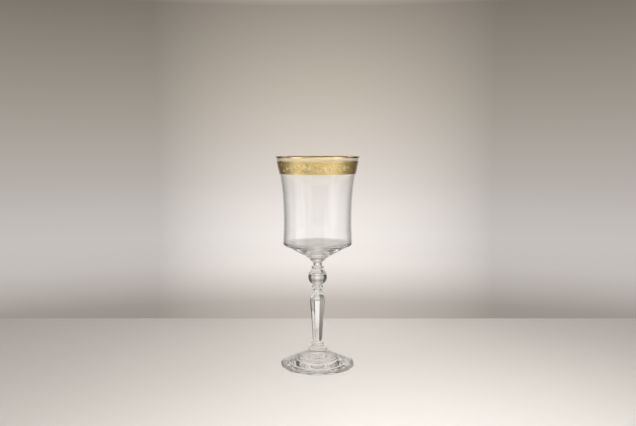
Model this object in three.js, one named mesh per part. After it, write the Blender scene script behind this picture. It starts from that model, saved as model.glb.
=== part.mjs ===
// A red wine glass in clear crystal: a flared bowl on a tall turned stem, with a gilded lip and an etched,
// gilded frieze below it. Millimetres, +Z up, origin at the centre of the plane that the foot stands on.
// Each piece is drawn as a half outline (radius, height) from its own base, and stacked on the one below.
import * as THREE from "three";

// Foot: a sloping disc that stands on a flat ring. Its hollow underside climbs in two low steps to a crown.
const footRadius = 37.5;
const footHeight = 14.6;
const footEdge = 2.6;
const footEdgeRound = 1.2;
const footSeatRadius = 10.6;
const footSeatRound = 0.8;
const footBevel = 2.4;
const footBevelRise = 1.5;
const standingRingWidth = 2.6;
const crownRise = 6.5;
const crownRadius = 14;
const crownEdgeRise = 4.5;
const innerStepRadius = 20.2;
const innerStepTop = 4;
const innerStepBottom = 2.6;
const outerStepRadius = 28.2;
const outerStepTop = 1.6;
const outerStepBottom = 0.9;
const stepRun = 0.7;

// Foot collar: a wide ring and a narrow ring, turned in one with the fillet that meets the stem.
const footCollarHeight = 11.2;
const wideRingRadius = 10;
const wideRingHeight = 3.2;
const narrowRingRadius = 6.7;
const narrowRingBase = 5.2;
const narrowRingHeight = 3;
const footGrooveRadius = 6;
const footCollarTopRadius = 5.4;

// Baluster: eight flat sides that swell from the foot collar to a shoulder and close in to the neck. It is
// turned a little to the left of the viewer, by an angle in radians.
const balusterSides = 8;
const balusterHeight = 51;
const balusterShoulderRise = 41.9;
const balusterFootFlat = 4.7;
const balusterShoulderFlat = 7.5;
const balusterNeckFlat = 4.2;
const balusterHollow = 0.45;
const balusterTurn = 0.13;

// Neck collar: a small bead and a larger ring between the baluster and the ball.
const neckCollarHeight = 6.3;
const neckRadius = 4.2;
const neckBeadRadius = 4.7;
const neckBeadRise = 2.2;
const neckBeadHeight = 1.6;
const neckRingRadius = 5.7;
const neckRingRise = 4.6;
const neckRingHeight = 2;

// Ball knop, and the ring that sits on it.
const ballRadius = 9.55;
const ballJointRadius = 4.6;
const knopRingHeight = 3.5;
const knopRingRadius = 6.1;
const knopRingRise = 1.4;
const knopRingThickness = 2;

// Bowl collar: the flare that carries the bowl.
const bowlCollarHeight = 7.9;
const bowlCollarRadius = 8;
const bowlCollarEdge = 1.6;
const bowlCollarHollow = 1.2;

// Bowl: a hollow-sided solid cone below, a near straight wall with a slight waist, and a flared lip.
const bowlHeight = 102.1;
const bowlBaseRadius = 10.4;
const coneHeight = 12.7;
const coneCornerRound = 2.6;
const coneHollow = 1;
const bellyRadius = 34.8;
const waistRadius = 34.2;
const waistRise = 33.2;
const rimRadius = 42.3;
const flarePower = 2.5;
const lipWall = 1.2;
const bellyWall = 1.7;
const floorRise = 13;
const floorDish = 3.6;
const floorRound = 2;

// Gilding: a line fired over the lip, and a frieze that fills a shallow etched recess round the bowl.
const gildingThickness = 0.25;
const gildingClearance = 0.05;
const lipLineOutside = 1.9;
const lipLineInside = 0.7;
const friezeDrop = 4.7;
const friezeHeight = 12.6;
const friezeBorder = 1.3;
const friezeFieldDepth = 0.1;

// Facets of the round pieces, and steps along each curve.
const bowlSegments = 48;
const stemSegments = 32;
const curveSteps = 4;
const lowerWallSteps = 7;
const upperWallSteps = 2;
const friezeSteps = 2;
const innerWallSteps = 8;

const glass = new THREE.MeshStandardMaterial({
  color: 0xeef2f1,
  roughness: 0.04,
  metalness: 0,
  transparent: true,
  opacity: 0.35,
});
const brightGold = new THREE.MeshStandardMaterial({ color: 0xd8a63e, roughness: 0.16, metalness: 1 });
const etchedGold = new THREE.MeshStandardMaterial({ color: 0xcdb163, roughness: 0.42, metalness: 1 });

// Spins a half outline round the Z axis. The outline runs out along its base and up its outer side.
function revolve(outline, segments, turn = 0) {
  const points = outline.getPoints(curveSteps);
  return new THREE.LatheGeometry(points, segments, turn).rotateX(Math.PI / 2);
}

// Draws an outline along a wall whose radius depends on the height above the bowl's base.
function followWall(outline, radiusAt, from, to, steps) {
  for (let step = 0; step <= steps; step += 1) {
    const rise = THREE.MathUtils.lerp(from, to, step / steps);
    outline.lineTo(radiusAt(rise), rise);
  }
}

// Adds a rounded ring to an outline that climbs: out from the groove, round the edge and back in.
function addRing(outline, middle, height, radius, grooveAbove) {
  const bottom = middle - height / 2;
  const top = middle + height / 2;
  outline.quadraticCurveTo(radius, bottom, radius, middle);
  outline.quadraticCurveTo(radius, top, grooveAbove, top);
}

function footGeometry() {
  const standingOuter = footRadius - footBevel;
  const standingInner = standingOuter - standingRingWidth;
  const outline = new THREE.Path();
  outline.moveTo(0, crownRise);
  outline.quadraticCurveTo(crownRadius * 0.6, crownRise, crownRadius, crownEdgeRise);
  outline.lineTo(innerStepRadius - stepRun, innerStepTop);
  outline.lineTo(innerStepRadius, innerStepBottom);
  outline.lineTo(outerStepRadius - stepRun, outerStepTop);
  outline.lineTo(outerStepRadius, outerStepBottom);
  outline.lineTo(standingInner, 0);
  outline.lineTo(standingOuter, 0);
  outline.quadraticCurveTo(footRadius, footBevelRise / 4, footRadius, footBevelRise);
  outline.quadraticCurveTo(footRadius, footEdge, footRadius - footEdgeRound, footEdge);
  outline.lineTo(footSeatRadius + footSeatRound, footHeight - footSeatRound);
  outline.quadraticCurveTo(footSeatRadius, footHeight, footSeatRadius - footSeatRound, footHeight);
  outline.lineTo(0, footHeight);
  return revolve(outline, bowlSegments);
}

function footCollarGeometry() {
  const narrowRingMiddle = narrowRingBase + narrowRingHeight / 2;
  const narrowRingTop = narrowRingBase + narrowRingHeight;
  const outline = new THREE.Path();
  outline.moveTo(0, 0);
  outline.lineTo(wideRingRadius - wideRingHeight / 4, 0);
  addRing(outline, wideRingHeight / 2, wideRingHeight, wideRingRadius, footGrooveRadius);
  outline.lineTo(footGrooveRadius, narrowRingBase);
  addRing(outline, narrowRingMiddle, narrowRingHeight, narrowRingRadius, footGrooveRadius);
  outline.quadraticCurveTo(footCollarTopRadius, narrowRingTop, footCollarTopRadius, footCollarHeight);
  outline.lineTo(0, footCollarHeight);
  return revolve(outline, stemSegments);
}

// The outline holds the distance from the axis to the middle of a flat side, stretched out to its corners.
function balusterGeometry() {
  const halfSide = Math.PI / balusterSides;
  const corner = (flat) => flat / Math.cos(halfSide);
  const middleFlat = (balusterFootFlat + balusterShoulderFlat) / 2 - balusterHollow;
  const outline = new THREE.Path();
  outline.moveTo(0, 0);
  outline.lineTo(corner(balusterFootFlat), 0);
  outline.quadraticCurveTo(
    corner(middleFlat),
    balusterShoulderRise / 2,
    corner(balusterShoulderFlat),
    balusterShoulderRise,
  );
  outline.quadraticCurveTo(
    corner(balusterShoulderFlat - balusterHollow),
    (balusterShoulderRise + balusterHeight) / 2,
    corner(balusterNeckFlat),
    balusterHeight,
  );
  outline.lineTo(0, balusterHeight);
  return revolve(outline, balusterSides, halfSide - balusterTurn);
}

function neckCollarGeometry() {
  const outline = new THREE.Path();
  outline.moveTo(0, 0);
  outline.lineTo(neckRadius, 0);
  outline.lineTo(neckRadius, neckBeadRise - neckBeadHeight / 2);
  addRing(outline, neckBeadRise, neckBeadHeight, neckBeadRadius, neckRadius);
  outline.lineTo(neckRadius, neckRingRise - neckRingHeight / 2);
  addRing(outline, neckRingRise, neckRingHeight, neckRingRadius, ballJointRadius);
  outline.lineTo(ballJointRadius, neckCollarHeight);
  outline.lineTo(0, neckCollarHeight);
  return revolve(outline, stemSegments);
}

// Half the height of the ball between the two flats where its neighbours are joined on.
const ballHalfHeight = Math.sqrt(ballRadius ** 2 - ballJointRadius ** 2);

function ballGeometry() {
  const jointAngle = Math.asin(ballHalfHeight / ballRadius);
  const outline = new THREE.Path();
  outline.moveTo(0, 0);
  outline.lineTo(ballJointRadius, 0);
  outline.absarc(0, ballHalfHeight, ballRadius, -jointAngle, jointAngle);
  outline.lineTo(0, 2 * ballHalfHeight);
  return revolve(outline, stemSegments);
}

function knopRingGeometry() {
  const outline = new THREE.Path();
  outline.moveTo(0, 0);
  outline.lineTo(ballJointRadius, 0);
  outline.lineTo(ballJointRadius, knopRingRise - knopRingThickness / 2);
  addRing(outline, knopRingRise, knopRingThickness, knopRingRadius, neckRadius);
  outline.lineTo(neckRadius, knopRingHeight);
  outline.lineTo(0, knopRingHeight);
  return revolve(outline, stemSegments);
}

function bowlCollarGeometry() {
  const flareHeight = bowlCollarHeight - bowlCollarEdge;
  const outline = new THREE.Path();
  outline.moveTo(0, 0);
  outline.lineTo(neckRadius, 0);
  outline.quadraticCurveTo(
    (neckRadius + bowlCollarRadius) / 2 - bowlCollarHollow,
    flareHeight / 2,
    bowlCollarRadius,
    flareHeight,
  );
  outline.lineTo(bowlCollarRadius, bowlCollarHeight);
  outline.lineTo(0, bowlCollarHeight);
  return revolve(outline, stemSegments);
}

const wallStart = coneHeight + coneCornerRound;

// Outer radius of the bowl's wall: a belly that eases in to the waist, then a flare that opens to the rim.
function outerWall(rise) {
  if (rise < waistRise) {
    const ease = THREE.MathUtils.smoothstep(rise, wallStart, waistRise);
    return THREE.MathUtils.lerp(bellyRadius, waistRadius, ease);
  }
  const climb = (rise - waistRise) / (bowlHeight - waistRise);
  return waistRadius + (rimRadius - waistRadius) * climb ** flarePower;
}

// Inner radius of the bowl's wall, which thickens from the lip down to the floor.
function innerWall(rise) {
  const depth = (bowlHeight - rise) / (bowlHeight - floorRise);
  return outerWall(rise) - THREE.MathUtils.lerp(lipWall, bellyWall, depth);
}

const gildingSeat = gildingThickness + gildingClearance;
const friezeTop = bowlHeight - friezeDrop;
const friezeBottom = friezeTop - friezeHeight;

function bowlGeometry() {
  const recessFloor = (rise) => outerWall(rise) - gildingSeat;
  const recessBottom = friezeBottom - gildingClearance;
  const recessTop = friezeTop + gildingClearance;
  const lipTop = bowlHeight - gildingSeat;
  const lipSeatOutside = bowlHeight - lipLineOutside - gildingClearance;
  const lipSeatInside = bowlHeight - lipLineInside - gildingClearance;
  const coneLength = Math.hypot(bellyRadius - bowlBaseRadius, coneHeight);
  const cornerShare = coneCornerRound / coneLength;
  const cornerRadius = THREE.MathUtils.lerp(bellyRadius, bowlBaseRadius, cornerShare);
  const cornerHeight = THREE.MathUtils.lerp(coneHeight, 0, cornerShare);
  const floorRadius = innerWall(floorRise) - floorRound;
  const outline = new THREE.Path();
  outline.moveTo(0, 0);
  outline.lineTo(bowlBaseRadius, 0);
  outline.quadraticCurveTo(
    (bowlBaseRadius + cornerRadius) / 2,
    cornerHeight / 2 + 2 * coneHollow,
    cornerRadius,
    cornerHeight,
  );
  outline.quadraticCurveTo(bellyRadius, coneHeight, bellyRadius, wallStart);
  followWall(outline, outerWall, wallStart, recessBottom, lowerWallSteps);
  followWall(outline, recessFloor, recessBottom, recessTop, friezeSteps);
  followWall(outline, outerWall, recessTop, lipSeatOutside, upperWallSteps);
  outline.lineTo(recessFloor(lipSeatOutside), lipSeatOutside);
  outline.lineTo(recessFloor(lipTop), lipTop);
  outline.lineTo(innerWall(lipTop) + gildingSeat, lipTop);
  outline.lineTo(innerWall(lipSeatInside) + gildingSeat, lipSeatInside);
  followWall(outline, innerWall, lipSeatInside, floorRise + floorRound, innerWallSteps);
  outline.quadraticCurveTo(innerWall(floorRise), floorRise, floorRadius, floorRise);
  outline.quadraticCurveTo(floorRadius / 2, floorRise - floorDish, 0, floorRise - floorDish);
  return revolve(outline, bowlSegments);
}

// The frieze: a raised border line above and below a sunk field.
function friezeGeometry() {
  const back = (rise) => outerWall(rise) - gildingThickness;
  const field = (rise) => outerWall(rise) - friezeFieldDepth;
  const fieldBottom = friezeBottom + friezeBorder;
  const fieldTop = friezeTop - friezeBorder;
  const outline = new THREE.Path();
  outline.moveTo(back(friezeBottom), friezeBottom);
  outline.lineTo(outerWall(friezeBottom), friezeBottom);
  outline.lineTo(outerWall(fieldBottom), fieldBottom);
  followWall(outline, field, fieldBottom, fieldTop, friezeSteps);
  outline.lineTo(outerWall(fieldTop), fieldTop);
  outline.lineTo(outerWall(friezeTop), friezeTop);
  followWall(outline, back, friezeTop, friezeBottom, friezeSteps);
  return revolve(outline, bowlSegments);
}

// The gilded line: a thin channel that caps the lip, longer outside than in.
function lipLineGeometry() {
  const outsideBottom = bowlHeight - lipLineOutside;
  const insideBottom = bowlHeight - lipLineInside;
  const underside = bowlHeight - gildingThickness;
  const outline = new THREE.Path();
  outline.moveTo(outerWall(outsideBottom) - gildingThickness, outsideBottom);
  outline.lineTo(outerWall(outsideBottom), outsideBottom);
  outline.lineTo(outerWall(underside), underside);
  outline.lineTo(rimRadius - gildingThickness, bowlHeight);
  outline.lineTo(innerWall(bowlHeight) + gildingThickness, bowlHeight);
  outline.lineTo(innerWall(underside), underside);
  outline.lineTo(innerWall(insideBottom), insideBottom);
  outline.lineTo(innerWall(insideBottom) + gildingThickness, insideBottom);
  outline.lineTo(innerWall(underside) + gildingThickness, underside);
  outline.lineTo(outerWall(underside) - gildingThickness, underside);
  outline.closePath();
  return revolve(outline, bowlSegments);
}

const wineGlass = new THREE.Group();

function place(name, geometry, material, base) {
  const mesh = new THREE.Mesh(geometry, material);
  mesh.name = name;
  mesh.position.z = base;
  wineGlass.add(mesh);
}

// The glass pieces from the table up, each joined to the flat top of the one below.
const footCollarBase = footHeight;
const balusterBase = footCollarBase + footCollarHeight;
const neckCollarBase = balusterBase + balusterHeight;
const ballBase = neckCollarBase + neckCollarHeight;
const knopRingBase = ballBase + 2 * ballHalfHeight;
const bowlCollarBase = knopRingBase + knopRingHeight;
const bowlBase = bowlCollarBase + bowlCollarHeight;

place("foot", footGeometry(), glass, 0);
place("foot_collar", footCollarGeometry(), glass, footCollarBase);
place("baluster_stem", balusterGeometry(), glass, balusterBase);
place("neck_collar", neckCollarGeometry(), glass, neckCollarBase);
place("ball_knop", ballGeometry(), glass, ballBase);
place("knop_ring", knopRingGeometry(), glass, knopRingBase);
place("bowl_collar", bowlCollarGeometry(), glass, bowlCollarBase);
place("bowl", bowlGeometry(), glass, bowlBase);
place("gilded_frieze", friezeGeometry(), etchedGold, bowlBase);
place("gilded_lip_line", lipLineGeometry(), brightGold, bowlBase);

export default wineGlass;
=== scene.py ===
import math

import bmesh
import bpy
import numpy as np
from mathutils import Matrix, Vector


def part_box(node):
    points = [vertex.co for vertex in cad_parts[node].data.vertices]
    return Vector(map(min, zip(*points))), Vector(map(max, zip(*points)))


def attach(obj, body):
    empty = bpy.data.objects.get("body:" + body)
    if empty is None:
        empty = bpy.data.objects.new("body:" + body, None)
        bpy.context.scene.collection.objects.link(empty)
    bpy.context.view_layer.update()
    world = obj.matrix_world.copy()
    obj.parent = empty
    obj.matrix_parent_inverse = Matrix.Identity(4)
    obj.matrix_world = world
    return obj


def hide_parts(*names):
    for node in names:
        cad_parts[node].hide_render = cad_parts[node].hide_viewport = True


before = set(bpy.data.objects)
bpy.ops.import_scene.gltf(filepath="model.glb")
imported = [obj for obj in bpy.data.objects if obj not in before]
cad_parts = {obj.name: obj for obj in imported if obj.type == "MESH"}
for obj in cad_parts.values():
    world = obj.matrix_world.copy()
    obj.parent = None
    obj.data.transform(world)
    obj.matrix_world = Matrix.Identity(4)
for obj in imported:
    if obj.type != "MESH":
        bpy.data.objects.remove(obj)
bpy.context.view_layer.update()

# Foot
# A sloping disc of clear crystal, pressed and fire-polished. It stands on a flat ring, and its hollow
# underside climbs in low steps to a crown. Hot glass is dropped on its flat top for the stem.
# Sizes in this file are written in millimetres and turned into metres by mm.
mm = 0.001
scene = bpy.context.scene
body = "root"
turned_segments = 192
guard_length = 0.12
arc_steps = 10


def add_node(tree, kind, **sockets):
    node = tree.nodes.new(kind)
    for name, value in sockets.items():
        node.inputs[name.replace("_", " ")].default_value = value
    return node


def mottled(nodes, colour, other_colour, scale):
    """A tone that drifts between two colours over the object."""
    place = nodes.nodes.new("ShaderNodeTexCoord")
    cloud = add_node(nodes, "ShaderNodeTexNoise", Scale=scale, Detail=3.0)
    tone = nodes.nodes.new("ShaderNodeMix")
    tone.data_type = "RGBA"
    tone.inputs["A"].default_value = (*colour, 1)
    tone.inputs["B"].default_value = (*other_colour, 1)
    nodes.links.new(place.outputs["Object"], cloud.inputs["Vector"])
    nodes.links.new(cloud.outputs["Fac"], tone.inputs["Factor"])
    return tone.outputs["Result"], cloud.outputs["Fac"]


def clear_crystal():
    material = bpy.data.materials.new("clear_crystal")
    material.use_nodes = True
    nodes = material.node_tree
    shader = nodes.nodes["Principled BSDF"]
    shader.inputs["Roughness"].default_value = 0
    shader.inputs["IOR"].default_value = 1.52
    shader.inputs["Transmission Weight"].default_value = 1
    tint, _ = mottled(nodes, (0.993, 0.997, 0.995), (0.985, 0.991, 0.988), 25.0)
    nodes.links.new(tint, shader.inputs["Base Color"])
    return material


def fused_joint():
    """Where two pieces of glass are fused there is no surface left to see."""
    material = bpy.data.materials.new("fused_joint")
    material.use_nodes = True
    nodes = material.node_tree
    nodes.nodes.clear()
    clear = nodes.nodes.new("ShaderNodeBsdfTransparent")
    output = nodes.nodes.new("ShaderNodeOutputMaterial")
    nodes.links.new(clear.outputs["BSDF"], output.inputs["Surface"])
    return material


crystal = clear_crystal()
joint_glass = fused_joint()


def rounded_outline(corners):
    """Runs through (radius, height, rounding) corners and replaces each rounding by an arc."""
    points = []
    for index, (radius, height, rounding) in enumerate(corners):
        here = np.array((radius, height), float)
        if rounding == 0 or index in (0, len(corners) - 1):
            points.append(here)
            continue
        back = np.array(corners[index - 1][:2]) - here
        on = np.array(corners[index + 1][:2]) - here
        back_length, on_length = np.linalg.norm(back), np.linalg.norm(on)
        back, on = back / back_length, on / on_length
        half_angle = math.acos(np.clip(back @ on, -1, 1)) / 2
        reach = rounding / math.tan(half_angle)
        centre = here + (back + on) / np.linalg.norm(back + on) * rounding / math.sin(half_angle)
        start, end = here + back * reach, here + on * reach
        if back_length - reach > 2 * guard_length:
            points.append(start + back * guard_length)
        first = math.atan2(*(start - centre)[::-1])
        turn = math.atan2(*(end - centre)[::-1]) - first
        turn = (turn + math.pi) % (2 * math.pi) - math.pi
        for step in range(arc_steps + 1):
            angle = first + turn * step / arc_steps
            points.append(centre + rounding * np.array((math.cos(angle), math.sin(angle))))
        if on_length - reach > 2 * guard_length:
            points.append(end + on * guard_length)
    return [tuple(point) for point in points]


def turned_piece(name, outline, joint_below=False, joint_above=False):
    """Spins an outline of (radius, height) points, and closes its ends with fused joint discs."""
    shape = bmesh.new()
    turns = [2 * math.pi * step / turned_segments for step in range(turned_segments)]
    rings = []
    for radius, height in outline:
        if radius == 0:
            rings.append([shape.verts.new((0, 0, height * mm))])
            continue
        ring = [(radius * math.cos(turn), radius * math.sin(turn), height) for turn in turns]
        rings.append([shape.verts.new([value * mm for value in spot]) for spot in ring])
    for lower, upper in zip(rings, rings[1:]):
        for step in range(turned_segments):
            after = (step + 1) % turned_segments
            corners = [
                lower[step % len(lower)],
                lower[after % len(lower)],
                upper[after % len(upper)],
                upper[step % len(upper)],
            ]
            face = shape.faces.new(list(dict.fromkeys(corners)))
            face.smooth = True
    ends = []
    if joint_below:
        ends.append(shape.faces.new(rings[0][::-1]))
    if joint_above:
        ends.append(shape.faces.new(rings[-1]))
    mark_joints(ends)
    return glass_piece(name, shape)


def mark_joints(discs):
    """Gives the discs where a piece is fused to its neighbours the fused joint's material."""
    for disc in discs:
        disc.material_index = 1
        for edge in disc.edges:
            edge.smooth = False


def glass_piece(name, shape):
    mesh = bpy.data.meshes.new(name)
    shape.to_mesh(mesh)
    shape.free()
    mesh.materials.append(crystal)
    mesh.materials.append(joint_glass)
    piece = bpy.data.objects.new(name, mesh)
    scene.collection.objects.link(piece)
    piece.visible_shadow = False
    piece.visible_diffuse = False
    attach(piece, body)
    return piece


def bend(start, pull, end, steps=16):
    """Points along a quadratic curve that leaves start towards pull and arrives at end from it."""
    shares = [step / steps for step in range(steps + 1)]
    return [
        tuple(
            (1 - s) ** 2 * a + 2 * s * (1 - s) * b + s**2 * c
            for a, b, c in zip(start, pull, end)
        )
        for s in shares
    ]


foot_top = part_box("foot")[1].z / mm
foot_radius = 37.4
foot_edge_height = 2.6
foot_edge_round = 0.84
foot_bevel = 2.4
foot_bevel_rise = 0.9
foot_bevel_round = 0.5
foot_seat_radius = 10.6
foot_seat_round = 0.6
foot_collar_base_radius = 9.4
standing_ring_width = 2.6
standing_outer = foot_radius - foot_bevel
standing_outer_round = 0.6
standing_inner = standing_outer - standing_ring_width
standing_inner_round = 1.5
crown_rise = 6.5
crown_pull = 9
crown_edge = (14, 4.5)
inner_step_top = (19.4, 4.0)
inner_step_bottom = (20.2, 2.6)
outer_step_top = (27.5, 1.6)
outer_step_bottom = (28.2, 0.9)
step_round = 0.3

foot_outline = bend((0, crown_rise), (crown_pull, crown_rise), crown_edge)
foot_outline += rounded_outline(
    [
        (*crown_edge, 0),
        (*inner_step_top, step_round),
        (*inner_step_bottom, step_round),
        (*outer_step_top, step_round),
        (*outer_step_bottom, step_round),
        (standing_inner, 0, standing_inner_round),
        (standing_outer, 0, standing_outer_round),
        (foot_radius, foot_bevel_rise, foot_bevel_round),
        (foot_radius, foot_edge_height, foot_edge_round),
        (foot_seat_radius, foot_top, foot_seat_round),
        (foot_collar_base_radius, foot_top, 0),
    ]
)[1:]
foot = turned_piece("clear_foot", foot_outline, joint_above=True)
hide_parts("foot")


# Foot collar
# Two rings turned on the glass between foot and stem, a wide one and a narrow one, with a soft
# hollow above them that runs into the flat sides of the baluster.
foot_collar_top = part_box("foot_collar")[1].z / mm
wide_ring_radius = 10
wide_ring_base = foot_top + 0.1
wide_ring_top = foot_top + 3.2
wide_ring_round = 1.4
ring_base_round = 0.3
groove_radius = 6
groove_base = wide_ring_top + 0.6
groove_base_round = 0.8
groove_top = foot_top + 5.2
groove_top_round = 0.4
narrow_ring_radius = 6.7
narrow_ring_base = groove_top + 0.2
narrow_ring_top = groove_top + 3
narrow_ring_round = 0.9
hollow_base = narrow_ring_top + 0.8
baluster_foot_flat = 4.7

collar_outline = rounded_outline(
    [
        (foot_collar_base_radius, foot_top, 0),
        (wide_ring_radius, wide_ring_base, ring_base_round),
        (wide_ring_radius, wide_ring_top, wide_ring_round),
        (groove_radius, groove_base, groove_base_round),
        (groove_radius, groove_top, groove_top_round),
        (narrow_ring_radius, narrow_ring_base, ring_base_round),
        (narrow_ring_radius, narrow_ring_top, narrow_ring_round),
        (baluster_foot_flat, hollow_base, narrow_ring_round),
        (baluster_foot_flat, foot_collar_top, 0),
    ]
)
foot_collar = turned_piece("clear_foot_collar", collar_outline, joint_below=True, joint_above=True)
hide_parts("foot_collar")


# Baluster
# An eight-sided stem, pressed in a mould and polished by fire, so its corners are a little soft.
# It swells from the foot to a shoulder, closes in to the neck, and goes round at both ends.
baluster_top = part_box("baluster_stem")[1].z / mm
shoulder_height = foot_collar_top + 41.9
shoulder_flat = 7.5
neck_flat = 4.2
baluster_hollow = 0.45
corner_round = 0.45
baluster_sides = 8
baluster_turn = 0.13
round_end_length = 2.2
shoulder_pull = 0.25
shoulder_lift = 0.6
corner_steps = 6
side_shares = (-0.88, 0, 0.88)
lower_steps = 40
upper_steps = 24


def eight_sided_ring(flat, rounding):
    """One section: flat sides at distance flat from the axis, with rounded corners between them."""
    half_side = math.pi / baluster_sides
    corner_centre = (flat - rounding) / math.cos(half_side)
    ring = []
    for side in range(baluster_sides):
        corner_turn = (2 * side + 1) * half_side - baluster_turn
        for step in range(corner_steps + 1):
            turn = corner_turn + half_side * (2 * step / corner_steps - 1)
            ring.append(
                (
                    corner_centre * math.sin(corner_turn) + rounding * math.sin(turn),
                    -corner_centre * math.cos(corner_turn) - rounding * math.cos(turn),
                )
            )
        face_turn = corner_turn + half_side
        half_width = corner_centre * math.sin(half_side)
        for share in side_shares:
            along = share * half_width
            ring.append(
                (
                    flat * math.sin(face_turn) + along * math.cos(face_turn),
                    -flat * math.cos(face_turn) + along * math.sin(face_turn),
                )
            )
    return ring


middle_flat = (baluster_foot_flat + shoulder_flat) / 2 - baluster_hollow
lower_run = bend(
    (baluster_foot_flat, foot_collar_top),
    (middle_flat, (foot_collar_top + shoulder_height) / 2),
    (shoulder_flat, shoulder_height),
    lower_steps,
)
upper_run = bend(
    (shoulder_flat, shoulder_height),
    (shoulder_flat - shoulder_pull, (shoulder_height + baluster_top) / 2 + shoulder_lift),
    (neck_flat, baluster_top),
    upper_steps,
)
baluster_outline = lower_run + upper_run[1:]
shape = bmesh.new()
rings = []
for flat, height in baluster_outline:
    to_end = min(height - foot_collar_top, baluster_top - height) / round_end_length
    ease = max(0, 1 - to_end) ** 2
    section = eight_sided_ring(flat, corner_round + (flat - corner_round) * ease)
    rings.append([shape.verts.new((x * mm, y * mm, height * mm)) for x, y in section])
for lower, upper in zip(rings, rings[1:]):
    for step in range(len(lower)):
        after = (step + 1) % len(lower)
        face = shape.faces.new((lower[step], lower[after], upper[after], upper[step]))
        face.smooth = True
mark_joints([shape.faces.new(rings[0][::-1]), shape.faces.new(rings[-1])])
baluster = glass_piece("clear_baluster", shape)
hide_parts("baluster_stem")


# Neck collar
# A small bead and a larger ring of crystal, drawn out of the hot glass with a pinching tool
# between the baluster and the ball, and fused to both.
neck_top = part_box("neck_collar")[1].z / mm
neck_radius = 4.2
neck_end_round = 0.3
bead_radius = 4.75
bead_height = baluster_top + 2.2
bead_half = 0.7
bead_slant = 0.2
bead_low_round = 0.25
bead_top_round = 0.5
neck_ring_radius = 5.7
neck_ring_height = baluster_top + 4.6
neck_ring_half = 0.8
neck_ring_low_slant = 0.3
neck_ring_top_slant = 0.2
neck_ring_low_round = 0.5
neck_ring_top_round = 0.6
ball_joint_radius = 4.6

neck_outline = rounded_outline(
    [
        (neck_flat, baluster_top, 0),
        (neck_radius, bead_height - bead_half - bead_slant, neck_end_round),
        (bead_radius, bead_height - bead_half, bead_low_round),
        (bead_radius, bead_height + bead_half, bead_top_round),
        (neck_radius, bead_height + bead_half + bead_slant, bead_low_round),
        (neck_radius, neck_ring_height - neck_ring_half - neck_ring_low_slant, bead_low_round),
        (neck_ring_radius, neck_ring_height - neck_ring_half, neck_ring_low_round),
        (neck_ring_radius, neck_ring_height + neck_ring_half, neck_ring_top_round),
        (ball_joint_radius, neck_ring_height + neck_ring_half + neck_ring_top_slant, neck_end_round),
        (ball_joint_radius, neck_top, 0),
    ]
)
neck_collar = turned_piece("clear_neck_collar", neck_outline, joint_below=True, joint_above=True)
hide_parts("neck_collar")


# Ball knop
# A solid ball of crystal, dropped on the neck as a hot gather and rounded in a wooden block.
# It turns the room behind it upside down like a lens.
ball_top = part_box("ball_knop")[1].z / mm
ball_radius = 9.55
ball_middle = (neck_top + ball_top) / 2
ball_reach = math.acos(ball_joint_radius / ball_radius)
ball_steps = 64

ball_outline = []
for step in range(ball_steps + 1):
    turn = ball_reach * (2 * step / ball_steps - 1)
    ball_outline.append((ball_radius * math.cos(turn), ball_middle + ball_radius * math.sin(turn)))
ball = turned_piece("clear_ball_knop", ball_outline, joint_below=True, joint_above=True)
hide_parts("ball_knop")


# Knop ring
# A ring of crystal laid hot on top of the ball, with a short neck above it that the collar of
# the bowl grows out of.
knop_ring_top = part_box("knop_ring")[1].z / mm
knop_ring_radius = 6.1
knop_ring_height = ball_top + 1.4
knop_ring_half = 0.9
knop_ring_slant = 0.1
knop_ring_low_round = 0.6
knop_ring_top_round = 0.8
knop_neck_round = 0.5

knop_ring_outline = rounded_outline(
    [
        (ball_joint_radius, ball_top, 0),
        (ball_joint_radius, knop_ring_height - knop_ring_half - knop_ring_slant, neck_end_round),
        (knop_ring_radius, knop_ring_height - knop_ring_half, knop_ring_low_round),
        (knop_ring_radius, knop_ring_height + knop_ring_half, knop_ring_top_round),
        (neck_radius, knop_ring_height + knop_ring_half + knop_ring_slant, knop_neck_round),
        (neck_radius, knop_ring_top, 0),
    ]
)
knop_ring = turned_piece("clear_knop_ring", knop_ring_outline, joint_below=True, joint_above=True)
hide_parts("knop_ring")


# Bowl collar
# A cup of crystal with a grooved edge that carries the bowl. It is dropped hot on the neck, opened
# out, and fused to the flat base of the bowl.
bowl_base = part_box("bowl")[0].z / mm
bowl_collar_neck = (neck_radius + 0.15, bowl_base - 5.2)
bowl_collar_flare = (6.3, bowl_base - 3.7)
bowl_collar_flare_round = 2.0
bowl_collar_radius = 8
bowl_collar_edge = bowl_base - 2.1
bowl_collar_edge_height = 0.5
bowl_collar_edge_slant = 0.3
bowl_collar_low_round = 0.25
bowl_collar_top_round = 0.2
bowl_collar_groove = 6.7

bowl_collar_outline = rounded_outline(
    [
        (neck_radius, knop_ring_top, 0),
        (*bowl_collar_neck, neck_end_round),
        (*bowl_collar_flare, bowl_collar_flare_round),
        (bowl_collar_radius, bowl_collar_edge, bowl_collar_low_round),
        (bowl_collar_radius, bowl_collar_edge + bowl_collar_edge_height, bowl_collar_top_round),
        (
            bowl_collar_groove,
            bowl_collar_edge + bowl_collar_edge_height + bowl_collar_edge_slant,
            bowl_collar_top_round,
        ),
        (bowl_collar_groove, bowl_base, 0),
    ]
)
bowl_collar = turned_piece(
    "clear_bowl_collar", bowl_collar_outline, joint_below=True, joint_above=True
)
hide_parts("bowl_collar")


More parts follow.
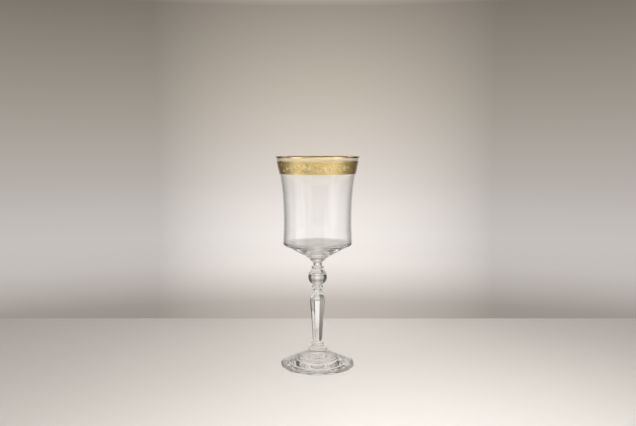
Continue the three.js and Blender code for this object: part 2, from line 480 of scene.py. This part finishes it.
# Bowl
# Blown crystal with a thick conical base. The wall leans in to a slight waist, flares out to the
# lip, and thins from the floor up. The lip is rounded by fire.
gilding_room = 0.05
rim_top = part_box("gilded_lip_line")[1].z / mm - gilding_room
bowl_base_radius = 10.4
base_edge_inset = 0.1
base_edge_rise = 0.3
base_edge_round = 0.2
cone_height = 13.5
cone_hollow = 0.35
cone_corner_round = 1.8
belly_radius = 34.8
belly_height = bowl_base + cone_height + 1.6
wall_start = belly_height + 0.3
waist_radius = 34.2
waist_height = bowl_base + 33.2
rim_radius = 42.25
flare_power = 2.5
lip_wall = 0.9
belly_wall = 1.25
floor_edge_height = bowl_base + 13.9
floor_edge_drop = 0.15
floor_dish = 3.6
floor_dish_pull = 0.45
floor_round = 1.8
lip_band = 4
lip_rows = 10
lip_arc_points = 13
wall_rows = 110
cone_steps = 36
floor_steps = 40


def wall_outside(height):
    if height < waist_height:
        share = min(max((height - belly_height) / (waist_height - belly_height), 0), 1)
        return belly_radius + (waist_radius - belly_radius) * share**2 * (3 - 2 * share)
    climb = (height - waist_height) / (rim_top - waist_height)
    return waist_radius + (rim_radius - waist_radius) * climb**flare_power


def wall_inside(height):
    depth = (rim_top - height) / (rim_top - floor_edge_height)
    return wall_outside(height) - lip_wall - (belly_wall - lip_wall) * depth


def lip_outline(outside_from, inside_to):
    """Up the outside of the lip, round its top and down the inside."""
    half_wall = lip_wall / 2
    shoulder = rim_top - half_wall
    outside = [(wall_outside(z), z) for z in np.linspace(outside_from, shoulder, lip_rows)]
    inside = [(wall_inside(z), z) for z in np.linspace(shoulder, inside_to, lip_rows)]
    middle = (outside[-1][0] + inside[0][0]) / 2
    reach = (outside[-1][0] - inside[0][0]) / 2
    over = [
        (middle + reach * math.cos(turn), shoulder + half_wall * math.sin(turn))
        for turn in np.linspace(0, math.pi, lip_arc_points)[1:-1]
    ]
    return outside + over + inside


cone_length = math.hypot(belly_radius - bowl_base_radius, cone_height)
corner_share = cone_corner_round / cone_length
corner_radius = belly_radius + (bowl_base_radius - belly_radius) * corner_share
corner_height = bowl_base + cone_height * (1 - corner_share)
cone_side = bend(
    (bowl_base_radius, bowl_base + base_edge_rise),
    ((bowl_base_radius + corner_radius) / 2, (bowl_base + corner_height) / 2 + 2 * cone_hollow),
    (corner_radius, corner_height),
    cone_steps,
)
cone_corner = bend(
    (corner_radius, corner_height),
    (belly_radius, bowl_base + cone_height),
    (belly_radius, wall_start),
)
bowl_outline = rounded_outline(
    [
        (bowl_collar_groove, bowl_base, 0),
        (bowl_base_radius - base_edge_inset, bowl_base, base_edge_round),
        (*cone_side[1], 0),
    ]
)
bowl_outline += cone_side[2:] + cone_corner[1:-1]
bowl_outline += [
    (wall_outside(z), z) for z in np.linspace(wall_start, rim_top - lip_band, wall_rows)
]
bowl_outline += lip_outline(rim_top - lip_band, rim_top - lip_band)[1:]
inner_start = floor_edge_height + floor_round
bowl_outline += [
    (wall_inside(z), z) for z in np.linspace(rim_top - lip_band, inner_start, wall_rows)
][1:]
floor_corner = wall_inside(floor_edge_height)
floor_edge = (floor_corner - floor_round, floor_edge_height - floor_edge_drop)
floor_middle = floor_edge_height - floor_dish
bowl_outline += bend(
    (wall_inside(inner_start), inner_start), (floor_corner, floor_edge_height), floor_edge
)[1:]
bowl_outline += bend(
    floor_edge, (floor_corner * floor_dish_pull, floor_middle), (0, floor_middle), floor_steps
)[1:]
bowl = turned_piece("clear_bowl", bowl_outline, joint_below=True)
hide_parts("bowl")


# Gilded lip line
# Burnished gold: liquid gold is painted over the lip with a brush while the glass turns, then fired
# on and rubbed bright.
gold_film = 0.06
gold_sink = 0.03
lip_line_outside = 1.6
lip_line_inside = 0.4


def burnished_gold():
    material = bpy.data.materials.new("bright_gold")
    material.use_nodes = True
    nodes = material.node_tree
    shader = nodes.nodes["Principled BSDF"]
    shader.inputs["Metallic"].default_value = 1
    tone, cloud = mottled(nodes, (0.93, 0.72, 0.32), (0.97, 0.79, 0.4), 380.0)
    polish = add_node(nodes, "ShaderNodeMapRange", To_Min=0.1, To_Max=0.2)
    nodes.links.new(cloud, polish.inputs["Value"])
    nodes.links.new(tone, shader.inputs["Base Color"])
    nodes.links.new(polish.outputs["Result"], shader.inputs["Roughness"])
    return material


def gold_piece(name, verts, faces, material):
    mesh = bpy.data.meshes.new(name)
    mesh.from_pydata(verts, [], faces)
    mesh.materials.append(material)
    mesh.shade_smooth()
    piece = bpy.data.objects.new(name, mesh)
    scene.collection.objects.link(piece)
    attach(piece, body)
    return piece


path = np.array(lip_outline(rim_top - lip_line_outside, rim_top - lip_line_inside))
along = np.gradient(path, axis=0)
along /= np.linalg.norm(along, axis=1)[:, None]
outward = np.stack([along[:, 1], -along[:, 0]], axis=1)
loop = np.concatenate([path + outward * gold_film, (path - outward * gold_sink)[::-1]])
turns = np.linspace(0, 2 * math.pi, turned_segments, endpoint=False)
lip_verts = [
    (radius * math.cos(turn) * mm, radius * math.sin(turn) * mm, height * mm)
    for turn in turns
    for radius, height in loop
]
count = len(loop)
lip_faces = []
for step in range(turned_segments):
    after = (step + 1) % turned_segments
    for spot in range(count):
        later = (spot + 1) % count
        lip_faces.append(
            (step * count + spot, after * count + spot, after * count + later, step * count + later)
        )
bright_gold = burnished_gold()
lip_line = gold_piece("gilded_lip", lip_verts, lip_faces, bright_gold)
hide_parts("gilded_lip_line")


# Gilded frieze
# A running scroll etched into the glass and covered with fired gold, between two beaded borders.
# The ground stays satin and is darkened by painted shade next to the strokes; the raised scrolls are
# rubbed bright and paler with a painted highlight.
frieze_low, frieze_high = (corner.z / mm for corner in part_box("gilded_frieze"))
frieze_height = frieze_high - frieze_low
frieze_units = 12
unit_columns = 132
frieze_rows = 92
back_rows = 8
relief_depth = 0.22
middle_radius = wall_outside((frieze_low + frieze_high) / 2)
unit_length = 2 * math.pi * middle_radius / frieze_units
border_width = 1.9
field_half = frieze_height / 2 - 2.0
stem_swing = field_half - 0.5
stem_width = 0.4
scroll_start = math.radians(140)
scroll_sweep = math.radians(560)
scroll_outer_radius = 3.7
scroll_closing = 2.1
scroll_drop = 0.4
scroll_width = 0.5
scroll_thinning = 0.1
boss_radius = 1.0
fan_inset = 0.3
fan_drop = 0.3
fan_start = 0.9
fan_leaves = [
    (172, 3.0, 0.3, 0.9),
    (-160, 4.4, 0.36, 0.5),
    (-132, 4.6, 0.38, 0.2),
    (-104, 4.2, 0.36, -0.2),
    (-78, 3.6, 0.3, -0.6),
]
tendrils = [
    (5.6, 1.6, 90, -40, 3.6, 0.26, 3.0),
    (4.4, -2.2, -90, 30, 2.6, 0.3, 1.6),
]
leaf_tip_width = 0.06
stem_points = 150
scroll_points = 210
leaf_points = 40
curve_ease = 0.8
thin_stroke_lift = 0.6
width_lift = 0.4
unit_stipples = 22
stipple_row_share = 0.87
stipple_size = 0.3
stipple_lift = 0.4
bare_ground_below = 0.02
unit_beads = 14
bead_place = 1.1
bead_size = 0.52
bead_lift = 0.5
edge_line_place = 0.2
edge_line_half = 0.3
edge_line_lift = 0.3
field_line_place = 1.85
field_line_half = 0.17
field_line_lift = 0.6
painted_shade_start = 0.12
painted_shade_gain = 3.4
border_painted_shade_share = 0.4
blur_reach = 2


def stroke(points, widths):
    """A raised line: round in section, as wide at each point as widths says."""
    return np.column_stack([points, widths])


def stem_stroke():
    x = np.linspace(-unit_length / 2, unit_length / 2, stem_points)
    y = stem_swing * np.cos(math.pi * x / unit_length)
    return stroke(np.column_stack([x, y]), np.full(len(x), stem_width))


def scroll_stroke():
    share = np.linspace(0, 1, scroll_points)
    turn = scroll_start + scroll_sweep * share
    radius = scroll_outer_radius - scroll_closing * share**curve_ease
    points = np.column_stack([radius * np.cos(turn), radius * np.sin(turn) - scroll_drop])
    return stroke(points, scroll_width - scroll_thinning * share)


def leaf_stroke(base, angle, length, width, curl):
    """A leaf that leaves base at an angle in degrees, bends by curl, and is widest near its middle."""
    share = np.linspace(0, 1, leaf_points)
    turn = math.radians(angle) + curl * share
    step = length / len(share)
    points = np.array(base) + np.cumsum(np.column_stack([np.cos(turn), np.sin(turn)]) * step, axis=0)
    swell = np.sin(math.pi * np.clip(share, 0.04, 0.97) ** curve_ease)
    return stroke(points, width * swell + leaf_tip_width)


def unit_strokes():
    """One scroll with its boss, its stretch of stem, and the leaves and tendrils in the corners."""
    parts = [stem_stroke(), scroll_stroke()]
    parts.append(stroke(np.array([[0, -scroll_drop]]), np.array([boss_radius])))
    fan_place = unit_length / 2 - fan_inset
    for angle, length, width, curl in fan_leaves:
        across = fan_place + fan_start * math.cos(math.radians(angle))
        up = fan_start * math.sin(math.radians(angle)) - fan_drop
        parts.append(leaf_stroke((across, up), angle, length, width, curl))
        parts.append(leaf_stroke((-across, up), 180 - angle, length, width, -curl))
    for side in (-1, 1):
        for across, up, angle, lean, length, width, curl in tendrils:
            base = (side * across, up)
            parts.append(leaf_stroke(base, angle + side * lean, length, width, side * curl))
    return parts


def dome(squared_share):
    """Round section: 1 in the middle, where the share is 0, and nothing from 1 on."""
    return np.sqrt(np.clip(1 - squared_share, 0, None))


def raise_strokes(x, y, parts):
    """The height of a set of strokes over a grid: wider ones stand up more."""
    height = np.zeros_like(x)
    for part in parts:
        for px, py, width in part:
            section = dome(((x - px) ** 2 + (y - py) ** 2) / width**2)
            lift = section * min(1, thin_stroke_lift + width * width_lift)
            np.maximum(height, lift, out=height)
    return height


def spread(grid):
    """A blurred copy of a height grid that wraps round the glass."""
    total = np.zeros_like(grid)
    window = 2 * blur_reach + 1
    padded = np.pad(grid, ((0, 0), (blur_reach, blur_reach)), mode="edge")
    for across in range(-blur_reach, blur_reach + 1):
        for up in range(window):
            total += np.roll(padded[:, up : up + grid.shape[1]], across, axis=0)
    return total / window**2


pair_columns = 2 * unit_columns
u = (np.arange(pair_columns) + 0.5) / unit_columns * unit_length
v = np.linspace(0, frieze_height, frieze_rows)
grid_u, grid_v = np.meshgrid(u, v, indexing="ij")
relief = np.zeros_like(grid_u)
for unit, flip in ((0, 1), (1, -1)):
    x = grid_u - (unit + 0.5) * unit_length
    y = flip * (grid_v - frieze_height / 2)
    for wrap in (-2, 0, 2):
        np.maximum(relief, raise_strokes(x + wrap * unit_length, y, unit_strokes()), out=relief)
from_edge = frieze_height / 2 - np.abs(grid_v - frieze_height / 2)
relief *= from_edge > frieze_height / 2 - field_half
stipple_pitch = unit_length / unit_stipples
row_pitch = stipple_pitch * stipple_row_share
row = np.round(grid_v / row_pitch)
stipple_x = ((grid_u / stipple_pitch + 0.5 * (row % 2)) % 1 - 0.5) * stipple_pitch
stipple = dome((stipple_x**2 + (grid_v - row * row_pitch) ** 2) / stipple_size**2)
bare_ground = spread(relief) < bare_ground_below
in_field = from_edge > border_width
relief = np.maximum(relief, stipple * stipple_lift * bare_ground) * in_field
bead_pitch = unit_length / unit_beads
bead_x = (grid_u + bead_pitch / 2) % bead_pitch - bead_pitch / 2
bead = dome((bead_x**2 + (from_edge - bead_place) ** 2) / bead_size**2)
edge_line = dome(((from_edge - edge_line_place) / edge_line_half) ** 2)
field_line = dome(((from_edge - field_line_place) / field_line_half) ** 2)
for ornament, lift in ((bead, bead_lift), (edge_line, edge_line_lift), (field_line, field_line_lift)):
    relief = np.maximum(relief, ornament * lift)
# Painted shade: the ground is darkened where it lies below the blurred relief around it, next to the
# strokes, and less so in the borders.
painted_shade = np.clip((spread(relief) - relief - painted_shade_start) * painted_shade_gain, 0, 1)
painted_shade *= np.where(in_field, 1, border_painted_shade_share)
relief = np.tile(relief, (frieze_units // 2, 1))
painted_shade = np.tile(painted_shade, (frieze_units // 2, 1))

columns = len(relief)
heights = frieze_low + v
walls = np.array([wall_outside(z) for z in heights])
turns = 2 * math.pi * (np.arange(columns) + 0.5) / columns - math.pi / 2
front = walls[None, :] + gold_film + relief_depth * relief
back_heights = np.linspace(frieze_high, frieze_low, back_rows)
back = np.array([wall_outside(z) for z in back_heights]) - gold_sink
loop_radius = np.concatenate([front, np.tile(back, (columns, 1))], axis=1)
loop_height = np.concatenate([heights, back_heights])
count = len(loop_height)
frieze_verts = np.empty((columns, count, 3))
frieze_verts[:, :, 0] = loop_radius * np.cos(turns)[:, None]
frieze_verts[:, :, 1] = loop_radius * np.sin(turns)[:, None]
frieze_verts[:, :, 2] = loop_height[None, :]
index = np.arange(columns * count).reshape(columns, count)
next_column = np.roll(index, -1, axis=0)
next_spot = np.roll(index, -1, axis=1)
corner = np.roll(next_column, -1, axis=1)
frieze_faces = np.stack([index, next_column, corner, next_spot], axis=-1).reshape(-1, 4)


def etched_gold():
    """Gold over the etching: dull in the ground, with painted shade deepest next to the strokes, and
    rubbed bright where it stands up, with a paler painted highlight.
    """
    material = bpy.data.materials.new("etched_gold")
    material.use_nodes = True
    nodes = material.node_tree
    shader = nodes.nodes["Principled BSDF"]
    shader.inputs["Metallic"].default_value = 1
    raised = nodes.nodes.new("ShaderNodeAttribute")
    raised.attribute_name = "relief"
    painted_shade_input = nodes.nodes.new("ShaderNodeAttribute")
    painted_shade_input.attribute_name = "painted_shade"
    # The relief height sets the roughness, which is the real rubbed polish, and the base colour, which
    # runs from a darker ground tone (painted shade) to a paler rubbed tone (painted highlight).
    rubbing_and_painted_light = add_node(nodes, "ShaderNodeMapRange", From_Min=0.1, From_Max=0.75)
    ground, _ = mottled(nodes, (0.82, 0.59, 0.22), (0.88, 0.66, 0.28), 420.0)
    rubbed, _ = mottled(nodes, (0.98, 0.83, 0.46), (1.0, 0.88, 0.53), 380.0)
    tone = nodes.nodes.new("ShaderNodeMix")
    tone.data_type = "RGBA"
    shade = nodes.nodes.new("ShaderNodeMix")
    shade.data_type = "RGBA"
    # The painted shade colour, mixed in by the painted shade attribute.
    shade.inputs["B"].default_value = (0.2, 0.13, 0.05, 1)
    polish = add_node(nodes, "ShaderNodeMapRange", To_Min=0.3, To_Max=0.14)
    nodes.links.new(raised.outputs["Fac"], rubbing_and_painted_light.inputs["Value"])
    nodes.links.new(rubbing_and_painted_light.outputs["Result"], tone.inputs["Factor"])
    nodes.links.new(ground, tone.inputs["A"])
    nodes.links.new(rubbed, tone.inputs["B"])
    nodes.links.new(painted_shade_input.outputs["Fac"], shade.inputs["Factor"])
    nodes.links.new(tone.outputs["Result"], shade.inputs["A"])
    nodes.links.new(shade.outputs["Result"], shader.inputs["Base Color"])
    nodes.links.new(rubbing_and_painted_light.outputs["Result"], polish.inputs["Value"])
    nodes.links.new(polish.outputs["Result"], shader.inputs["Roughness"])
    return material


def gold_back():
    """The back of the gold, seen through the glass: paler and dull, because it lies on the etching."""
    material = bpy.data.materials.new("gold_back")
    material.use_nodes = True
    nodes = material.node_tree
    shader = nodes.nodes["Principled BSDF"]
    shader.inputs["Roughness"].default_value = 0.5
    shader.inputs["Metallic"].default_value = 0.4
    tone, _ = mottled(nodes, (0.87, 0.69, 0.37), (0.94, 0.78, 0.46), 700.0)
    nodes.links.new(tone, shader.inputs["Base Color"])
    return material


frieze = gold_piece(
    "gilded_scrolls",
    (frieze_verts * mm).reshape(-1, 3).tolist(),
    frieze_faces.tolist(),
    etched_gold(),
)
for attribute, front_values, back_value in (("relief", relief, 1), ("painted_shade", painted_shade, 0)):
    values = np.concatenate([front_values, np.full((columns, back_rows), back_value)], axis=1)
    frieze.data.attributes.new(attribute, "FLOAT", "POINT").data.foreach_set("value", values.ravel())
frieze.data.materials.append(gold_back())
on_back = np.tile(np.arange(count) >= frieze_rows, (columns, 1)).astype(np.int32)
frieze.data.polygons.foreach_set("material_index", on_back.ravel())
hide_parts("gilded_frieze")


# Table and backdrop
# A pale painted table stands in front of a softly lit backdrop, which is brightest a little below eye
# level. Soft lights stand round it, and the backdrop's dark sides draw the edges of the glass.
def display(red, green, blue):
    """Turns a colour as it shows on a screen, 0 to 255, into the linear values that Blender takes."""
    shares = [value / 255 for value in (red, green, blue)]
    return [c / 12.92 if c <= 0.04045 else ((c + 0.055) / 1.055) ** 2.4 for c in shares]


backdrop_stops = [
    (-40, display(205, 199, 192)),
    (-24, display(198, 191, 184)),
    (-19, display(238, 233, 228)),
    (-16, display(238, 233, 228)),
    (-14, display(189, 180, 172)),
    (-12.7, display(195, 187, 179)),
    (-11.0, display(225, 217, 211)),
    (-9.6, display(241, 234, 229)),
    (-7.3, display(244, 238, 233)),
    (-5, display(237, 230, 225)),
    (-2.7, display(225, 217, 210)),
    (4, display(195, 186, 174)),
    (11.5, display(153, 144, 133)),
    (12.4, display(203, 197, 190)),
    (40, display(214, 209, 203)),
    (75, display(235, 231, 226)),
]
side_stops = [(0, 1), (0.055, 0.62), (0.2, 0.62), (0.33, 0.06), (0.66, 0.06), (0.84, 0.4), (1, 0.5)]
front_level = 0.55
front_start = -0.1
front_end = -0.5
glow_offset = 0.01
through_glass_gain = 1.07


def math_node(tree, operation, second=0):
    node = tree.nodes.new("ShaderNodeMath")
    node.operation = operation
    node.inputs[1].default_value = second
    return node


def fill_ramp(ramp, stops):
    """Gives a colour ramp its stops, each a position from 0 to 1 and a colour."""
    elements = ramp.color_ramp.elements
    while len(elements) < len(stops):
        elements.new(0.5)
    for element, (position, colour) in zip(elements, stops):
        element.position = position
        element.color = (*colour, 1)


world = bpy.data.worlds.new("studio")
scene.world = world
world.use_nodes = True
tree = world.node_tree
tree.nodes.clear()
direction = tree.nodes.new("ShaderNodeTexCoord")
split = tree.nodes.new("ShaderNodeSeparateXYZ")
height_share = add_node(tree, "ShaderNodeMapRange", From_Min=-1.0, From_Max=1.0)
backdrop = tree.nodes.new("ShaderNodeValToRGB")
fill_ramp(
    backdrop,
    [((math.sin(math.radians(elevation)) + 1) / 2, colour) for elevation, colour in backdrop_stops],
)
off_centre = math_node(tree, "SUBTRACT", second=glow_offset)
squared = math_node(tree, "POWER", second=2)
side_share = tree.nodes.new("ShaderNodeValToRGB")
fill_ramp(side_share, [(position, (level, level, level)) for position, level in side_stops])
front_share = add_node(
    tree, "ShaderNodeMapRange", From_Min=front_start, From_Max=front_end, To_Min=1.0, To_Max=front_level
)
ray = tree.nodes.new("ShaderNodeLightPath")
ray_share = add_node(tree, "ShaderNodeMapRange", To_Min=through_glass_gain, To_Max=1.0)
around = math_node(tree, "MULTIPLY")
strength = math_node(tree, "MULTIPLY")
background = tree.nodes.new("ShaderNodeBackground")
world_output = tree.nodes.new("ShaderNodeOutputWorld")
for source, target in (
    (direction.outputs["Generated"], split.inputs["Vector"]),
    (split.outputs["Z"], height_share.inputs["Value"]),
    (height_share.outputs["Result"], backdrop.inputs["Fac"]),
    (split.outputs["X"], off_centre.inputs[0]),
    (off_centre.outputs["Value"], squared.inputs[0]),
    (squared.outputs["Value"], side_share.inputs["Fac"]),
    (split.outputs["Y"], front_share.inputs["Value"]),
    (side_share.outputs["Color"], around.inputs[0]),
    (front_share.outputs["Result"], around.inputs[1]),
    (ray.outputs["Is Camera Ray"], ray_share.inputs["Value"]),
    (around.outputs["Value"], strength.inputs[0]),
    (ray_share.outputs["Result"], strength.inputs[1]),
    (backdrop.outputs["Color"], background.inputs["Color"]),
    (strength.outputs["Value"], background.inputs["Strength"]),
    (background.outputs["Background"], world_output.inputs["Surface"]),
):
    tree.links.new(source, target)

table_half_width = 450
table_back = 191.5
table_narrow = 275
table_waist = -40
table_shoulder = -150
table_front = -1500
floor_half_width = 5000
floor_front = -6000


def flat_mesh(name, corners, faces, material):
    mesh = bpy.data.meshes.new(name)
    mesh.from_pydata([[value * mm for value in corner] for corner in corners], [], faces)
    mesh.materials.append(material)
    card = bpy.data.objects.new(name, mesh)
    scene.collection.objects.link(card)
    return card


def matt_paint(name, colour, other_colour, scale, roughness, shine):
    material = bpy.data.materials.new(name)
    material.use_nodes = True
    nodes = material.node_tree
    shader = nodes.nodes["Principled BSDF"]
    shader.inputs["Roughness"].default_value = roughness
    shader.inputs["Specular IOR Level"].default_value = shine
    tone, _ = mottled(nodes, colour, other_colour, scale)
    nodes.links.new(tone, shader.inputs["Base Color"])
    return material


pale_table = matt_paint("table_paint", display(211, 207, 201), display(217, 213, 207), 6.0, 0.4, 0.4)
left_edge = [
    (-table_half_width, table_back, 0),
    (-table_narrow, table_waist, 0),
    (-table_half_width, table_shoulder, 0),
    (-table_half_width, table_front, 0),
]
right_edge = [(-x, y, z) for x, y, z in left_edge]
count = len(left_edge)
table_faces = [(step, step + 1, step + 1 + count, step + count) for step in range(count - 1)]
flat_mesh("table", left_edge + right_edge, table_faces, pale_table)
floor_left = [(-floor_half_width, table_back, 0), (-floor_half_width, table_front, 0)] + left_edge[::-1]
floor_right = [(-x, y, z) for x, y, z in floor_left][::-1]
floor_strip = [
    (-floor_half_width, floor_front, 0),
    (floor_half_width, floor_front, 0),
    (floor_half_width, table_front, 0),
    (-floor_half_width, table_front, 0),
]
floor_corners = []
floor_faces = []
for stretch in (floor_left, floor_right, floor_strip):
    first = len(floor_corners)
    floor_faces.append(list(range(first, first + len(stretch))))
    floor_corners += stretch
floor = flat_mesh("floor", floor_corners, floor_faces, pale_table)
floor.visible_glossy = False
floor.visible_transmission = False


def hide_card(card):
    card.visible_camera = False
    card.visible_diffuse = False
    card.visible_shadow = False


def stand_card(name, from_turn, to_turn, distance, bottom, top, material):
    """A card round the glass that only reflections and refractions see; turns count from +Y to +X."""
    feet = [
        (distance * math.sin(math.radians(turn)), distance * math.cos(math.radians(turn)))
        for turn in np.linspace(from_turn, to_turn, 6)
    ]
    corners = [(x, y, z) for z in (bottom, top) for x, y in feet]
    count = len(feet)
    faces = [(step, step + 1, step + 1 + count, step + count) for step in range(count - 1)]
    card = flat_mesh(name, corners, faces, material)
    hide_card(card)
    return card


black_cloth = matt_paint("flag_cloth", display(24, 22, 20), display(28, 26, 23), 40.0, 0.9, 0.1)
white_card = matt_paint("white_card", display(235, 233, 230), display(239, 237, 234), 40.0, 0.9, 0.1)
graded_card_height = 62


def graded_paint():
    """Dark at the table and paler upwards: painted shade that deepens towards the table."""
    material = bpy.data.materials.new("graded_card")
    material.use_nodes = True
    nodes = material.node_tree
    shader = nodes.nodes["Principled BSDF"]
    shader.inputs["Roughness"].default_value = 0.9
    place = nodes.nodes.new("ShaderNodeTexCoord")
    split = nodes.nodes.new("ShaderNodeSeparateXYZ")
    share = add_node(nodes, "ShaderNodeMapRange", From_Max=graded_card_height * mm)
    grade = nodes.nodes.new("ShaderNodeValToRGB")
    fill_ramp(grade, [(0, display(90, 86, 82)), (1, display(190, 184, 178))])
    nodes.links.new(place.outputs["Object"], split.inputs["Vector"])
    nodes.links.new(split.outputs["Z"], share.inputs["Value"])
    nodes.links.new(share.outputs["Result"], grade.inputs["Fac"])
    nodes.links.new(grade.outputs["Color"], shader.inputs["Base Color"])
    return material


for name, from_turn, to_turn, distance, height, material in (
    ("white_card_left", -64, -28, 200, 28, white_card),
    ("white_card_right", 28, 64, 200, 28, white_card),
    ("graded_card_left", -38, -17, 100, graded_card_height, graded_paint()),
):
    card = stand_card(name, from_turn, to_turn, distance, 0, height, material)
    card.visible_glossy = False
stand_card("dark_room", 162, 189, 1300, 260, 1300, black_cloth)
overhead_corners = [(-700, -1400, 900), (700, -1400, 900), (700, -100, 900), (-700, -100, 900)]
hide_card(flat_mesh("overhead_flag", overhead_corners, [(0, 1, 2, 3)], black_cloth))


def soft_light(name, azimuth, elevation, distance, width, height, brightness, aim=120):
    """A softbox that fades to its edges. Azimuth counts from -Y to +X, and brightness 1 is white."""
    data = bpy.data.lights.new(name, "AREA")
    data.shape = "RECTANGLE"
    data.size = width * mm
    data.size_y = height * mm
    data.energy = brightness * math.pi * data.size * data.size_y
    data.use_nodes = True
    nodes = data.node_tree
    glow = nodes.nodes["Emission"]
    spot = nodes.nodes.new("ShaderNodeNewGeometry")
    centred = nodes.nodes.new("ShaderNodeVectorMath")
    centred.operation = "DISTANCE"
    centred.inputs[1].default_value = (0.5, 0.5, 0)
    fade = add_node(nodes, "ShaderNodeMapRange", From_Min=0.22, From_Max=0.5, To_Min=1.0, To_Max=0.0)
    fade.interpolation_type = "SMOOTHSTEP"
    nodes.links.new(spot.outputs["Parametric"], centred.inputs[0])
    nodes.links.new(centred.outputs["Value"], fade.inputs["Value"])
    nodes.links.new(fade.outputs["Result"], glow.inputs["Strength"])
    light = bpy.data.objects.new(name, data)
    turn = math.radians(azimuth)
    rise = math.radians(elevation)
    light.location = (
        distance * mm * math.sin(turn) * math.cos(rise),
        -distance * mm * math.cos(turn) * math.cos(rise),
        aim * mm + distance * mm * math.sin(rise),
    )
    light.rotation_euler = (math.pi / 2 - rise, 0, turn)
    light.visible_camera = False
    scene.collection.objects.link(light)
    return light


for name, azimuth, elevation, distance, width, height, brightness in (
    ("softbox_left", -58, 6, 1300, 1300, 1700, 0.85),
    ("softbox_right", 40, 8, 900, 900, 1300, 0.85),
    ("ceiling_light", 20, 75, 1300, 1200, 900, 0.8),
    ("back_light_left", -123, 41, 900, 260, 260, 3.0),
    ("back_light_right", 123, 41, 900, 260, 260, 3.0),
):
    soft_light(name, azimuth, elevation, distance, width, height, brightness)
for name, azimuth in (("low_softbox_left", -61), ("low_softbox_right", 61)):
    low_box = soft_light(name, azimuth, -22, 430, 380, 260, 0.34, aim=210)
    low_box.data.spread = math.radians(120)
    low_box.visible_diffuse = False
    low_box.visible_transmission = False
for name, x, y, z, width, brightness in (
    ("table_lamp", 110, -170, 340, 250, 7),
    ("front_lamp", 30, -430, 420, 300, 16),
    ("back_lamp", 20, 150, 200, 120, 6),
):
    lamp = soft_light(name, 0, 90, 0, width, width, brightness)
    lamp.location = (x * mm, y * mm, z * mm)
    lamp.visible_glossy = False
    lamp.visible_transmission = False

scene.cycles.max_bounces = 32
scene.cycles.transmission_bounces = 32
scene.cycles.glossy_bounces = 12
scene.cycles.transparent_max_bounces = 48


# Camera
# The eye is about 0.7 m away and just above the rim, and looks a little down at the glass.
picture_width_px = 636
focal_length_px = 690
eye_distance = 692.5
eye_height = 222.1
eye_right = 0.4
tilt_down = math.radians(5.425)

scene.view_settings.view_transform = "Standard"
camera_data = bpy.data.cameras.new("camera")
camera_data.sensor_width = 36
camera_data.lens = focal_length_px * camera_data.sensor_width / picture_width_px
camera = bpy.data.objects.new("camera", camera_data)
camera.location = (eye_right * mm, -eye_distance * mm, eye_height * mm)
camera.rotation_euler = (math.pi / 2 - tilt_down, 0, 0)
scene.collection.objects.link(camera)
scene.camera = camera
